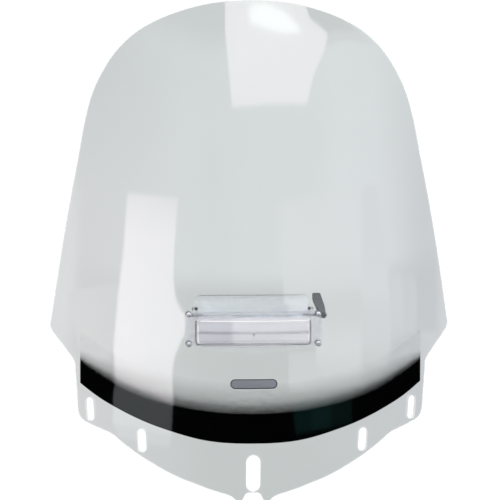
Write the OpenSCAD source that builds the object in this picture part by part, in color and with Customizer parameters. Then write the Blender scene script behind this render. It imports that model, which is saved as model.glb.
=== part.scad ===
// Vented motorcycle windshield screen.
// A clear sheet, domed both ways, stands upright with its front towards -Y.
// Origin: centre of the middle mounting slot, on the sheet's front face. +Z up, +X to the right, millimetres.
// The sheet is part of a barrel: a convex meridian turned about a vertical axis behind the screen.
// The edge line is drawn on a plane that leans back a little, and cut straight through the barrel.

/* [Screen sheet] */
// Thickness of the clear sheet
sheet_t = 4.5; // [3:0.5:6]
// Horizontal radius of the front face at the vent, where the barrel is widest
crown_r = 410; // [400:5:450]
// Vertical radius of the front face
meridian_r = 1400; // [1200:50:2000]
// Lean of the plane that the edge line is drawn on, in degrees
trim_lean = 6; // [4:1:8]

/* [Mounting slots] */
// Width of the four side slots
slot_w = 14; // [10:1:16]
// Length of the four side slots, end to end
slot_l = 36; // [30:1:40]
// Width of the middle slot
mid_slot_w = 21; // [18:1:24]
// Length of the middle slot, end to end
mid_slot_l = 57; // [50:1:60]
// Sideways distance of the inner slots from the middle
inner_slot_x = 170; // [160:2:180]
// Height of the inner slots above the middle slot
inner_slot_z = 48; // [44:1:54]
// Sideways distance of the outer slots from the middle
outer_slot_x = 248; // [242:1:250]
// Height of the outer slots above the middle slot
outer_slot_z = 92; // [88:1:98]

/* [Printed band] */
// Thickness of the printed film on the rear face
film_t = 0.4; // [0.3:0.1:0.8]
// Half width of the band, to its upright cut ends
band_x = 262; // [256:1:263]
// Height of the dotted fade above the solid band
fade_h = 46; // [20:2:50]

/* [Vent] */
// Height of the vent's middle above the middle slot
vent_z = 222; // [216:1:230]
// Thickness of the vent's frames
frame_t = 2.5; // [2:0.5:3]
// Half width of the clear duct
duct_x = 86; // [84:1:88]
// Half height of the clear duct
duct_z = 20; // [18:1:22]
// Opening angle of the vane as shown, from closed
vane_open = 123; // [90:1:128]
// Largest opening angle of the vane
vane_max = 133; // [131:1:136]
// Length of the vane from its hinge axis to its tip
vane_l = 46.5; // [45:0.5:50]

/* [Hardware] */
// Radius of the vane's pivot pins
pin_r = 2; // [1.5:0.5:2]
// Running clearance of a pin in its ear
pin_gap = 0.06; // [0.04:0.01:0.08]
// Radius of the vent's screws
screw_r = 2; // [1.5:0.5:2]

/* [Badge] */
// Length of the blank badge
badge_l = 72; // [50:2:80]
// Height of the blank badge
badge_h = 15; // [10:1:18]

/* [Hidden] */
$fn = 64;

clear_c = [0.80, 0.84, 0.84, 0.45];
duct_c = [0.78, 0.78, 0.84, 0.55];

// horizontal radius of the front face at height z
function rho(z) = crown_r - meridian_r + sqrt(meridian_r * meridian_r - (z - vent_z) * (z - vent_z));
// how far the front face falls back at sideways distance x, at the vent's height
function sag(x) = crown_r - sqrt(crown_r * crown_r - x * x);
// distance of the barrel's axis behind the origin
axis_y = rho(0);
// how far the vent's middle stands in front of the origin
vent_y = axis_y - crown_r;

// thickness of the gaskets, and the levels of the vent's layers, out from the sheet's front face
gasket_t = 1;
bezel_in = gasket_t;
bezel_out = gasket_t + frame_t;
housing_out = -sheet_t - gasket_t;
housing_in = housing_out - frame_t;

// duct: its middle is a little below the vent's middle
duct_zc = -2;
duct_wall = 2.5;
// rear rim of the duct, behind the vent's middle
rim_y = 25.5;
seal_t = 1;

// hinge axis of the vane, from the vent's middle
hinge_y = 30;
hinge_z = 21;
knuckle_r = 3.5;
vane_t = 2.5;
vane_x = duct_x + 1.6;
washer_t = 0.8;
ear_x = vane_x + 1;
ear_t = 3;
clip_x = ear_x + ear_t + 0.2;
clip_t = 1;
bumper_r = 2.5;
lever_x = 104;
lever_t = 7;
lever_l = 44;

// vent screws
screw_x = 99;
screw_z = [24, -21];
boss_r = 5;
head_y = 6.9;
nut_y = 21.9;
nut_t = 2.4;

// ---- smooth edge lines through hand-picked points ----
function dist(a, b) = norm(b - a);
function tangent(p, i) =
    let (n = len(p) - 1,
         a = i > 0 ? p[i - 1] : 2 * p[0] - p[1],
         b = i < n ? p[i + 1] : 2 * p[n] - p[n - 1],
         da = dist(a, p[i]), db = dist(p[i], b))
    ((p[i] - a) / da * db + (b - p[i]) / db * da) / (da + db);
function herm(p0, p1, m0, m1, d, t) =
    (2 * t * t * t - 3 * t * t + 1) * p0 + (t * t * t - 2 * t * t + t) * d * m0 +
    (3 * t * t - 2 * t * t * t) * p1 + (t * t * t - t * t) * d * m1;
// a smooth line through p, with a point about every step millimetres
function smooth(p, step) =
    concat([for (i = [0:len(p) - 2])
        let (d = dist(p[i], p[i + 1]), n = max(1, round(d / step)))
        for (k = [0:n - 1]) herm(p[i], p[i + 1], tangent(p, i), tangent(p, i + 1), d, k / n)],
        [p[len(p) - 1]]);
// the same line on the left, run backwards, so the two close up
function mirrored(p) = [for (i = [len(p) - 1:-1:0]) if (p[i][0] > 0.01) [-p[i][0], p[i][1]]];

// right half of the sheet's edge, from the top to the notch, on the leaning plane
edge_top = [[0, 725], [35, 723.5], [70, 719], [105, 710], [140, 697], [174, 678], [204, 650], [226, 617],
            [241, 585], [251, 550], [263, 487], [275, 424], [286, 361], [296, 298], [305, 238]];
edge_wing = [[305, 238], [306.5, 229], [304, 221], [298, 212], [289, 200], [279, 186], [272, 176],
             [269.5, 170], [269, 160]];
edge_tab = [[269, 160], [267.5, 138], [266, 116], [264.5, 96], [262, 88], [256, 81.5], [247, 76.5],
            [231, 69], [214, 61], [199, 48.5], [177, 31.5], [153, 16], [127, 1], [108, -8], [90, -15],
            [71, -22.5], [48, -30], [37, -33.5], [30, -37.5], [26.5, -41.5]];
edge_leg = [[26.5, -41.5], [25.5, -44], [18, -44], [14.5, -38], [12.5, -34]];
edge_notch = [[12.5, -34], [11.5, -32], [8, -30], [0, -29.5]];

function edge_half() = concat(smooth(edge_top, 22), smooth(edge_wing, 6), smooth(edge_tab, 13),
                              edge_leg, smooth(edge_notch, 5));
module edge_2d() polygon(concat(edge_half(), mirrored(edge_half())));

// lower and upper lines of the black band, from the middle to its right end
band_low = [[0, 46], [28, 46.5], [55, 48.5], [80, 52.5], [105, 59], [130, 67], [155, 76], [180, 87],
            [205, 100], [228, 113.5], [250, 129.5], [266, 143]];
band_high = [[0, 91.5], [28, 92], [55, 94], [80, 97], [105, 101.5], [130, 107], [155, 114], [180, 123],
             [205, 135], [228, 149], [250, 164], [266, 176]];
module strip_2d(low, high, x) intersection() {
    polygon(concat(smooth(low, 24), [for (i = [len(high) - 1:-1:0]) smooth(high, 400)[i]],
                   [for (p = smooth(high, 400)) if (p[0] > 0) [-p[0], p[1]]],
                   mirrored(smooth(low, 24))));
    translate([-x, 0]) square([2 * x, 300]);
}
function lifted(p, d) = [for (q = p) [q[0], q[1] + d]];

// ---- shared solids ----
// a layer of the barrel, from a millimetres outside the front face down to b
module layer(a, b, z0 = -70, z1 = 780, half = 58)
    translate([0, axis_y, 0]) rotate([0, 0, -90 - half])
        rotate_extrude(angle = 2 * half, $fn = 256) intersection() {
            difference() {
                translate([crown_r - meridian_r, vent_z]) circle(meridian_r + a, $fn = 256);
                translate([crown_r - meridian_r, vent_z]) circle(meridian_r + b, $fn = 256);
            }
            translate([crown_r - 160, z0]) square([200, z1 - z0]);
        }
// the part of a layer round the vent
module vent_layer(a, b) layer(a, b, vent_z - 60, vent_z + 60, 24);
// a shape on the leaning plane, run straight through the screen
module through() rotate([-trim_lean, 0, 0]) rotate([90, 0, 0]) translate([0, 0, -260])
    linear_extrude(400) children();
// the vent's own place: x across, y back into the duct, z up
module vent() translate([0, vent_y, vent_z]) children();
// a shape in the vent's x and z, run from y0 back to y1
module run(y0, y1) translate([0, y1, 0]) rotate([90, 0, 0]) linear_extrude(y1 - y0) children();
// a rounded rectangle with half sizes x and z, with its middle at zc
module pad_2d(x, z, zc, r) translate([0, zc]) {
    square([2 * x - 2 * r, 2 * z], center = true);
    square([2 * x, 2 * z - 2 * r], center = true);
    for (i = [-1, 1], k = [-1, 1]) translate([i * (x - r), k * (z - r)]) circle(r);
}
// children at the four vent screws, with +Z along the screw's axis to the rear
module at_screws() for (i = [-1, 1], z = screw_z) translate([i * screw_x, 0, z]) rotate([-90, 0, 0]) children();
// the four screw holes, in the vent's place
module screw_holes(r) at_screws() translate([0, 0, -20]) cylinder(h = 70, r = r);
// the hinge axis' own place
module hinge() translate([0, hinge_y, hinge_z]) children();
// a rod along x, on the hinge axis, from x0 to x1
module rod(x0, x1, r) translate([x0, 0, 0]) rotate([0, 90, 0]) cylinder(h = x1 - x0, r = r);
// the vane's own place, turned open
module on_vane() vent() hinge() rotate([vane_open, 0, 0]) children();

// a slot of width w and length l, square to the sheet at sideways distance x and height z
module slot_cut(x, z, w, l)
    translate([0, axis_y, 0]) rotate([0, 0, asin(x / rho(z))]) translate([0, -rho(z), z])
        rotate([asin((vent_z - z) / meridian_r), 0, 0]) {
            for (k = [-1, 1]) translate([0, 20, k * (l - w) / 2]) rotate([90, 0, 0]) cylinder(h = 40, r = w / 2);
            translate([-w / 2, -20, -(l - w) / 2]) cube([w, 40, l - w]);
        }

// ---- the sheet and what is printed on it ----
module screen_sheet() color(clear_c) difference() {
    intersection() {
        layer(0, -sheet_t);
        through() edge_2d();
    }
    slot_cut(0, 0, mid_slot_w, mid_slot_l);
    for (i = [-1, 1]) {
        slot_cut(i * inner_slot_x, inner_slot_z, slot_w, slot_l);
        slot_cut(i * outer_slot_x, outer_slot_z, slot_w, slot_l);
    }
    vent() run(-20, 40) pad_2d(duct_x + 1, duct_z + 1, duct_zc, 6);
    vent() screw_holes(screw_r + 0.6);
}

module lower_band() color([0.02, 0.02, 0.02]) intersection() {
    layer(-sheet_t, -sheet_t - film_t);
    through() strip_2d(band_low, band_high, band_x);
}

module fade_band() color([0.12, 0.12, 0.12, 0.6]) intersection() {
    layer(-sheet_t, -sheet_t - film_t);
    through() strip_2d(band_high, lifted(band_high, fade_h), band_x);
}

module badge() color([0.16, 0.17, 0.18]) intersection() {
    layer(1.2, 0, 110, 165, 12);
    translate([0, 0, 140]) run(-60, 40) pad_2d(badge_l / 2, badge_h / 2, 0, badge_h / 2 - 0.1);
}

// ---- the vent's fixed parts ----
// outline of the bezel: a rounded frame whose lower edge bows down, with a small tab in the middle
module bezel_2d() {
    pad_2d(105, 28.5, 2, 8);
    intersection() {
        translate([0, 606]) circle(640, $fn = 256);
        translate([-97, -40]) square([194, 40]);
    }
    translate([-6, -38]) square([12, 8]);
}

module vent_bezel() color(duct_c) difference() {
    union() {
        difference() {
            union() {
                intersection() {
                    vent_layer(bezel_out, bezel_in);
                    vent() run(-30, 40) bezel_2d();
                }
                intersection() {
                    vent_layer(bezel_out, -9);
                    vent() run(-30, 40) pad_2d(duct_x - 0.5, duct_z - 0.5, duct_zc, 4.5);
                }
            }
            vent() run(-31, 41) pad_2d(duct_x - 2.5, duct_z - 2.5, duct_zc, 3);
        }
        // two louvre blades that rise to the rear and overlap, bent round with the sheet
        intersection() {
            translate([0, axis_y, vent_z]) rotate([0, 0, -114]) for (z = [-3, -19])
                rotate_extrude(angle = 48, $fn = 256) polygon([[crown_r + 2, z - 2.6], [crown_r + 2, z],
                                                               [crown_r - 13, z + 15.5], [crown_r - 13, z + 12.9]]);
            vent() translate([-duct_x + 1, -10, -21]) cube([2 * duct_x - 2, 50, 40]);
        }
        // centre rib, from the lower blade up to the upper one
        vent() translate([-1.25, -1, duct_zc - duct_z + 1.5]) cube([2.5, 8.5, 17]);
        // flat seats for the screw heads
        intersection() {
            vent_layer(12, bezel_in);
            vent() at_screws() translate([0, 0, head_y]) cylinder(h = 12, r = boss_r);
        }
    }
    vent() screw_holes(screw_r + 0.2);
}

module bezel_gasket() color([0.85, 0.87, 0.88, 0.5]) difference() {
    intersection() {
        vent_layer(gasket_t, 0);
        vent() run(-30, 40) pad_2d(103.5, 27, 2, 7);
    }
    vent() run(-31, 41) pad_2d(duct_x + 1, duct_z + 1, duct_zc, 6);
    vent() screw_holes(screw_r + 0.6);
}

module housing_gasket() color([0.85, 0.87, 0.88, 0.5]) difference() {
    intersection() {
        vent_layer(-sheet_t - 0.05, -sheet_t - gasket_t);
        vent() run(-30, 60) pad_2d(103.5, 27, 2, 7);
    }
    vent() run(-31, 61) pad_2d(duct_x + 1, duct_z + 1, duct_zc, 6);
    vent() screw_holes(screw_r + 0.6);
}

// place of the stop bumpers, beside the fully open vane, from the hinge axis
bumper_at = [11 * sin(vane_max) + 2.1 * cos(vane_max), -11 * cos(vane_max) + 2.1 * sin(vane_max)];
// side shape of a pivot ear, drawn in y and z from the hinge axis
module ear_2d() {
    circle(6.5);
    translate([-13, -7.5]) square([13, 14]);
    hull() {
        circle(5, $fn = 32);
        translate(bumper_at) circle(4, $fn = 32);
    }
}

module vent_housing() color(duct_c) difference() {
    union() {
        intersection() {
            vent_layer(housing_out, housing_in);
            vent() run(-30, 60) pad_2d(105, 28.5, 2, 8);
        }
        // duct collar, back to its flat rim, and the seats for the nuts
        intersection() {
            vent_layer(housing_out, -60);
            vent() union() {
                run(0, rim_y) pad_2d(duct_x + duct_wall, duct_z + duct_wall, duct_zc, 6);
                at_screws() translate([0, 0, 8]) cylinder(h = nut_y - 8, r = boss_r);
                for (i = [-1, 1]) translate([i * (ear_x + ear_t / 2 - 1.5), 0, 0])
                    translate([-ear_t / 2 - 1.5, 8, 14]) cube([ear_t + 3, rim_y - 8, 13.5]);
            }
        }
        for (i = [-1, 1]) vent() hinge() translate([i * (ear_x + ear_t / 2) - ear_t / 2, 0, 0])
            rotate([90, 0, 90]) linear_extrude(ear_t) ear_2d();
    }
    vent() run(-31, 61) pad_2d(duct_x, duct_z, duct_zc, 4);
    vent() hinge() rod(-120, 120, pin_r + pin_gap);
    for (i = [-1, 1]) vent() hinge() translate([0, bumper_at[0], bumper_at[1]])
        rod(i * 90 - 10, i * 90 + 10, 1.25);
    vent() screw_holes(screw_r + 0.2);
}

// soft strip on three sides of the rim
module vane_seal() color([0.12, 0.12, 0.13]) vent() difference() {
    run(rim_y, rim_y + seal_t) pad_2d(duct_x + duct_wall, duct_z + duct_wall, duct_zc, 6);
    run(rim_y - 1, rim_y + 5) pad_2d(duct_x, duct_z, duct_zc, 4);
    translate([-120, 20, 13]) cube([240, 20, 20]);
}

module stop_bumpers() color([0.10, 0.10, 0.10]) for (i = [-1, 1]) vent() hinge()
    translate([0, bumper_at[0], bumper_at[1]]) mirror([i < 0 ? 1 : 0, 0, 0]) {
        rod(ear_x - 4.2, ear_x, bumper_r);
        rod(ear_x - 1, ear_x + ear_t + 0.5, 1.25);
        rod(ear_x + ear_t, ear_x + ear_t + 1, 2.2);
    }

module vent_screws() color([0.72, 0.72, 0.74]) vent() at_screws() difference() {
    rotate_extrude() polygon([[0, head_y - 2.4], [2, head_y - 2.3], [3.2, head_y - 1.7], [4, head_y - 0.7],
                              [4, head_y], [screw_r, head_y], [screw_r, 25.2], [screw_r - 0.3, 25.5], [0, 25.5]]);
    translate([0, 0, head_y - 3]) cylinder(h = 2, r = 1.45, $fn = 6);
}

module vent_washers() color([0.75, 0.75, 0.77]) vent() at_screws() translate([0, 0, nut_y]) difference() {
    cylinder(h = washer_t, r = 4.5);
    translate([0, 0, -1]) cylinder(h = 4, r = screw_r + 0.15);
}

module vent_nuts() color([0.72, 0.72, 0.74]) vent() at_screws() translate([0, 0, nut_y + washer_t])
    rotate([0, 0, 30]) difference() {
        cylinder(h = nut_t, r = 4.04, $fn = 6);
        translate([0, 0, -1]) cylinder(h = 6, r = screw_r + 0.05);
    }

// ---- the vane and what turns with it ----
module vane() color(duct_c) on_vane() difference() {
    union() {
        rod(-vane_x, vane_x, knuckle_r);
        // flat plate, hanging from the knuckle when closed, with rounded lower corners
        run(-knuckle_r + 0.3, -knuckle_r + 0.3 + vane_t) {
            translate([-vane_x, -vane_l + 6]) square([2 * vane_x, vane_l - 6]);
            translate([-vane_x + 6, -vane_l]) square([2 * vane_x - 12, 10]);
            for (i = [-1, 1]) translate([i * (vane_x - 6), -vane_l + 6]) circle(6);
        }
        // stiffening lip along the tip
        translate([-vane_x + 6, -knuckle_r + 0.3, -vane_l]) cube([2 * vane_x - 12, 5, 2]);
    }
    for (i = [-1, 1]) rod(i * vane_x - 12, i * vane_x + 12, pin_r + 0.02);
}

module pivot_pin_left() color([0.70, 0.70, 0.72]) on_vane()
    rod(-clip_x - clip_t - 1.5, -vane_x + 11.9, pin_r);

module pivot_pin_right() color([0.70, 0.70, 0.72]) on_vane() difference() {
    rod(vane_x - 11.9, lever_x + lever_t, pin_r);
    rod(lever_x + lever_t - 9, lever_x + lever_t + 1, 1.27);
}

module friction_washers() color([0.85, 0.84, 0.80]) on_vane() for (i = [-1, 1]) difference() {
    rod(i * (vane_x + washer_t / 2) - washer_t / 2, i * (vane_x + washer_t / 2) + washer_t / 2, 4.2);
    rod(i * vane_x - 5, i * vane_x + 5, pin_r + 0.02);
}

module pin_clips() color([0.30, 0.30, 0.32]) on_vane() for (i = [-1, 1]) difference() {
    rod(i * (clip_x + clip_t / 2) - clip_t / 2, i * (clip_x + clip_t / 2) + clip_t / 2, 3.6);
    rod(i * clip_x - 5, i * clip_x + 5, pin_r + 0.02);
    rotate([i * 40, 0, 0]) translate([i * clip_x - 5, -1.2, 0]) cube([10, 2.4, 5]);
}

// the lever: a hub on the right pin and an arm beside the vane, leaning in to a thumb pad at its end
module vane_lever() color([0.20, 0.21, 0.24]) on_vane() difference() {
    union() {
        rod(lever_x, lever_x + lever_t, 5.5);
        intersection() {
            translate([80, 0, 0]) rotate([90, 0, 90]) linear_extrude(40)
                polygon([[-3, 0], [4.5, 0], [3.5, -20], [3.5, -32], [5, -lever_l + 4], [7, -lever_l],
                         [3, -lever_l], [0.5, -lever_l + 5], [-1, -32], [-3, -16]]);
            run(-10, 10) polygon([[lever_x, 2], [lever_x + lever_t, 2], [lever_x + lever_t, -10], [110, -20],
                                  [107, -36], [105.5, -lever_l + 2], [104, -lever_l], [94, -lever_l],
                                  [92.5, -lever_l + 2], [93, -34], [98, -16], [lever_x - 1, -8]]);
        }
    }
    rod(lever_x - 10, lever_x + lever_t + 10, pin_r + 0.02);
}

module lever_screw() color([0.62, 0.62, 0.64]) on_vane() difference() {
    union() {
        rod(lever_x + lever_t - 8.5, lever_x + lever_t + 0.5, 1.25);
        rod(lever_x + lever_t, lever_x + lever_t + 2, 3);
    }
    translate([lever_x + lever_t + 1, 0, 0]) rotate([0, 90, 0]) cylinder(h = 2, r = 1.3, $fn = 6);
}

screen_sheet();
lower_band();
fade_band();
badge();
vent_bezel();
bezel_gasket();
vent_housing();
housing_gasket();
vane_seal();
stop_bumpers();
vent_screws();
vent_washers();
vent_nuts();
vane();
vane_lever();
lever_screw();
pivot_pin_left();
pivot_pin_right();
friction_washers();
pin_clips();
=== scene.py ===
import bpy
import math
import numpy as np
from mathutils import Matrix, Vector
from mathutils.geometry import delaunay_2d_cdt


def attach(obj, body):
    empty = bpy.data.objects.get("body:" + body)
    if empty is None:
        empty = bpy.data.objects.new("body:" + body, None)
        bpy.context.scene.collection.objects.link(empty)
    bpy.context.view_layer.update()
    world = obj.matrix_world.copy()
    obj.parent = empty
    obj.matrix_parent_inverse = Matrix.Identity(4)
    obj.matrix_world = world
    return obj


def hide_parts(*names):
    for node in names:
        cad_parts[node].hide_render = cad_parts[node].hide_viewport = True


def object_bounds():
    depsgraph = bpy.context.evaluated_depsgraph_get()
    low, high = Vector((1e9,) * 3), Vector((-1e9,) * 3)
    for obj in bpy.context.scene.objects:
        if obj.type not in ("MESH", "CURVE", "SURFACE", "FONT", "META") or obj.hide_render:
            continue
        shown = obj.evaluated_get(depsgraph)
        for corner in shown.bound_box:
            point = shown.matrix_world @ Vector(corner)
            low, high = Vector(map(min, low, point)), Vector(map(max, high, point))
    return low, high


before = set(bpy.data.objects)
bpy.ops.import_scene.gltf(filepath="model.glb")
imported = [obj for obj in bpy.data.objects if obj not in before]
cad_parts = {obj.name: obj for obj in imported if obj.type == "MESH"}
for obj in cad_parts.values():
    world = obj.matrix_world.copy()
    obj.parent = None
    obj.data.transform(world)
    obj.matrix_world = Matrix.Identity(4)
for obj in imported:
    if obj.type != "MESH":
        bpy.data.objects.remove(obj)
cad_lo, cad_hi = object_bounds()
scene = bpy.context.scene
scene.view_settings.view_transform = "Standard"
scene.view_settings.look = "None"
scene.cycles.transparent_max_bounces = 48
scene.cycles.transmission_bounces = 16
scene.cycles.max_bounces = 16

# ------------------------------------------------------------------ the barrel
# The same curved surface as the CAD: a convex meridian turned about a vertical axis. Metres.
R, RM, VZ, T = 0.410, 1.400, 0.222, 0.0045
LEAN = math.radians(6)
S6, C6 = math.sin(LEAN), math.cos(LEAN)


def rho(z, off=0.0):
    return R - RM + math.sqrt((RM + off) ** 2 - (z - VZ) ** 2)


AY = rho(0.0)
VY = AY - R


def surf(s, z, off=0.0):
    """Point off metres outside the front face, from arc position s and height z on the front face."""
    phi = s / R
    r = rho(z)
    sb = (z - VZ) / RM
    cb = math.sqrt(1 - sb * sb)
    n = Vector((math.sin(phi) * cb, -math.cos(phi) * cb, sb))
    return Vector((r * math.sin(phi), AY - r * math.cos(phi), z)) + n * off


def normal_at(p):
    phi = math.atan2(p[0], AY - p[1])
    q = math.hypot(p[0], p[1] - AY) - (R - RM)
    b = math.atan2(p[2] - VZ, q)
    return Vector((math.sin(phi) * math.cos(b), -math.cos(phi) * math.cos(b), math.sin(b)))


def level(p):
    """How far p is outside the front face."""
    return math.hypot(math.hypot(p[0], p[1] - AY) - (R - RM), p[2] - VZ) - RM


def drop(p, d, off):
    """Slides p along d until it is off metres outside the front face."""
    p = Vector(p)
    d = Vector(d)
    for _ in range(6):
        p = p - d * ((level(p) - off) / normal_at(p).dot(d))
    return p


def param(p):
    """Arc position and height on the front face, below p."""
    n = normal_at(p)
    return R * math.atan2(p[0], AY - p[1]), VZ + RM * n[2]


# ------------------------------------------------------------------ outlines, millimetres, as in the CAD
EDGE_TOP = [[0, 725], [35, 723.5], [70, 719], [105, 710], [140, 697], [174, 678], [204, 650], [226, 617],
            [241, 585], [251, 550], [263, 487], [275, 424], [286, 361], [296, 298], [305, 238]]
EDGE_WING = [[305, 238], [306.5, 229], [304, 221], [298, 212], [289, 200], [279, 186], [272, 176],
             [269.5, 170], [269, 160]]
EDGE_TAB = [[269, 160], [267.5, 138], [266, 116], [264.5, 96], [262, 88], [256, 81.5], [247, 76.5],
            [231, 69], [214, 61], [199, 48.5], [177, 31.5], [153, 16], [127, 1], [108, -8], [90, -15],
            [71, -22.5], [48, -30], [37, -33.5], [30, -37.5], [26.5, -41.5]]
EDGE_LEG = [[26.5, -41.5], [25.9, -43], [25.1, -43.8], [24, -44], [19.4, -44], [18.2, -43.7], [17.3, -42.8],
            [14.5, -38], [12.5, -34]]
EDGE_NOTCH = [[12.5, -34], [11.5, -32], [8, -30], [0, -29.5]]
BAND_LOW = [[0, 46], [28, 46.5], [55, 48.5], [80, 52.5], [105, 59], [130, 67], [155, 76], [180, 87],
            [205, 100], [228, 113.5], [250, 129.5], [266, 143]]
BAND_HIGH = [[0, 91.5], [28, 92], [55, 94], [80, 97], [105, 101.5], [130, 107], [155, 114], [180, 123],
             [205, 135], [228, 149], [250, 164], [266, 176]]
BAND_X = 262
FADE_H = 46.0


def smooth(points, step):
    """A smooth line through the points, the way the CAD draws it."""
    p = [np.array(q, float) for q in points]
    n = len(p) - 1

    def tangent(i):
        a = p[i - 1] if i > 0 else 2 * p[0] - p[1]
        b = p[i + 1] if i < n else 2 * p[n] - p[n - 1]
        da, db = np.linalg.norm(p[i] - a), np.linalg.norm(b - p[i])
        return ((p[i] - a) / da * db + (b - p[i]) / db * da) / (da + db)

    out = []
    for i in range(n):
        d = np.linalg.norm(p[i + 1] - p[i])
        m = max(1, round(d / step))
        t0, t1 = tangent(i), tangent(i + 1)
        for k in range(m):
            t = k / m
            out.append((2 * t ** 3 - 3 * t * t + 1) * p[i] + (t ** 3 - 2 * t * t + t) * d * t0
                       + (3 * t * t - 2 * t ** 3) * p[i + 1] + (t ** 3 - t * t) * d * t1)
    out.append(p[n])
    return out


def evened(pts, step):
    """The closed loop, with a point about every step, and its sharp ends kept."""
    out = []
    n = len(pts)
    for i in range(n):
        a, b = pts[i], pts[(i + 1) % n]
        m = max(1, int(round(np.linalg.norm(np.array(b) - np.array(a)) / step)))
        for k in range(m):
            out.append(np.array(a) + (np.array(b) - np.array(a)) * k / m)
    return out


def through(uw):
    """A point on the leaning plane, from millimetres. The way straight through it is THROUGH, below."""
    u, w = uw[0] / 1000, uw[1] / 1000
    return Vector((u, w * S6, w * C6))


THROUGH = Vector((0, C6, -S6))

half = (smooth(EDGE_TOP, 4.5)[:-1] + smooth(EDGE_WING, 2.5)[:-1] + smooth(EDGE_TAB, 4)[:-1]
        + [np.array(q, float) for q in EDGE_LEG[:-1]] + smooth(EDGE_NOTCH, 2.5))
left = [np.array([-q[0], q[1]]) for q in half[::-1] if q[0] > 0.01]
outline = half + left          # clockwise from the top, seen from the front


def slot_loop(x, z, w, l, n=20):
    """(points, way) of a slot cut square to the sheet."""
    x, z, w, l = x / 1000, z / 1000, w / 1000, l / 1000
    phi = math.asin(x / rho(z))
    tilt = math.asin((VZ - z) / RM)
    c = Vector((rho(z) * math.sin(phi), AY - rho(z) * math.cos(phi), z))
    out = Vector((math.sin(phi) * math.cos(tilt), -math.cos(phi) * math.cos(tilt), -math.sin(tilt)))
    across = Vector((math.cos(phi), math.sin(phi), 0))
    up = across.cross(out) * -1
    if up.z < 0:
        up = -up
    pts = []
    r, h = w / 2, (l - w) / 2
    for k in range(n + 1):
        a = math.pi * k / n
        pts.append(c + across * (r * math.cos(a)) + up * (h + r * math.sin(a)))
    m = max(2, int(round((l - w) / 0.003)))
    for k in range(1, m):
        pts.append(c - across * r + up * (h - 2 * h * k / m))
    for k in range(n + 1):
        a = math.pi + math.pi * k / n
        pts.append(c + across * (r * math.cos(a)) + up * (-h + r * math.sin(a)))
    for k in range(1, m):
        pts.append(c + across * r + up * (-h + 2 * h * k / m))
    return pts, out * -1


def pad(x, z, zc, r, step=4.0, n=8):
    """Rounded rectangle with half sizes x and z, millimetres, counter-clockwise."""
    pts = []
    corners = [(x - r, z - r, 0), (-x + r, z - r, 90), (-x + r, -z + r, 180), (x - r, -z + r, 270)]
    for cx, cz, a0 in corners:
        for k in range(n + 1):
            a = math.radians(a0 + 90 * k / n)
            pts.append((cx + r * math.cos(a), zc + cz + r * math.sin(a)))
    return evened(pts, step)


def vent_loop(pts):
    """Points across and up from the vent's middle, millimetres, cut straight back."""
    return [Vector((p[0] / 1000, 0.0, VZ + p[1] / 1000)) for p in pts], Vector((0, 1, 0))


def ring2d(cx, cz, r, n=24):
    return [(cx + r * math.cos(2 * math.pi * k / n), cz + r * math.sin(2 * math.pi * k / n)) for k in range(n)]


# ------------------------------------------------------------------ plates on the barrel
def make_mesh(name, verts, faces, mats, index=None, normals=None, uv=None):
    me = bpy.data.meshes.new(name)
    me.from_pydata([tuple(v) for v in verts], [], faces)
    for m in mats:
        me.materials.append(m)
    if index is not None:
        me.polygons.foreach_set("material_index", index)
    me.polygons.foreach_set("use_smooth", [True] * len(me.polygons))
    if uv is not None:
        layer = me.uv_layers.new(name="UVMap")
        data = np.zeros((len(me.loops), 2), np.float32)
        li = np.zeros(len(me.loops), np.int32)
        me.loops.foreach_get("vertex_index", li)
        data[:] = np.array(uv, np.float32)[li]
        layer.data.foreach_set("uv", data.ravel())
    me.update()
    if normals is not None:
        me.normals_split_custom_set_from_vertices([tuple(n) for n in normals])
    ob = bpy.data.objects.new(name, me)
    scene.collection.objects.link(ob)
    return ob


def parity(q, loops):
    """Which of the points q are inside an odd number of the loops."""
    inside = np.zeros(len(q), bool)
    for lp in loops:
        a = np.array(lp)
        b = np.roll(a, -1, axis=0)
        for (x0, y0), (x1, y1) in zip(a, b):
            if y0 == y1:
                continue
            c = (y0 > q[:, 1]) != (y1 > q[:, 1])
            inside ^= c & (q[:, 0] < (x1 - x0) * (q[:, 1] - y0) / (y1 - y0) + x0)
    return inside


def area2(lp):
    a = np.array(lp)
    b = np.roll(a, -1, axis=0)
    return float(np.sum(a[:, 0] * b[:, 1] - b[:, 0] * a[:, 1]) / 2)


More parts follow.
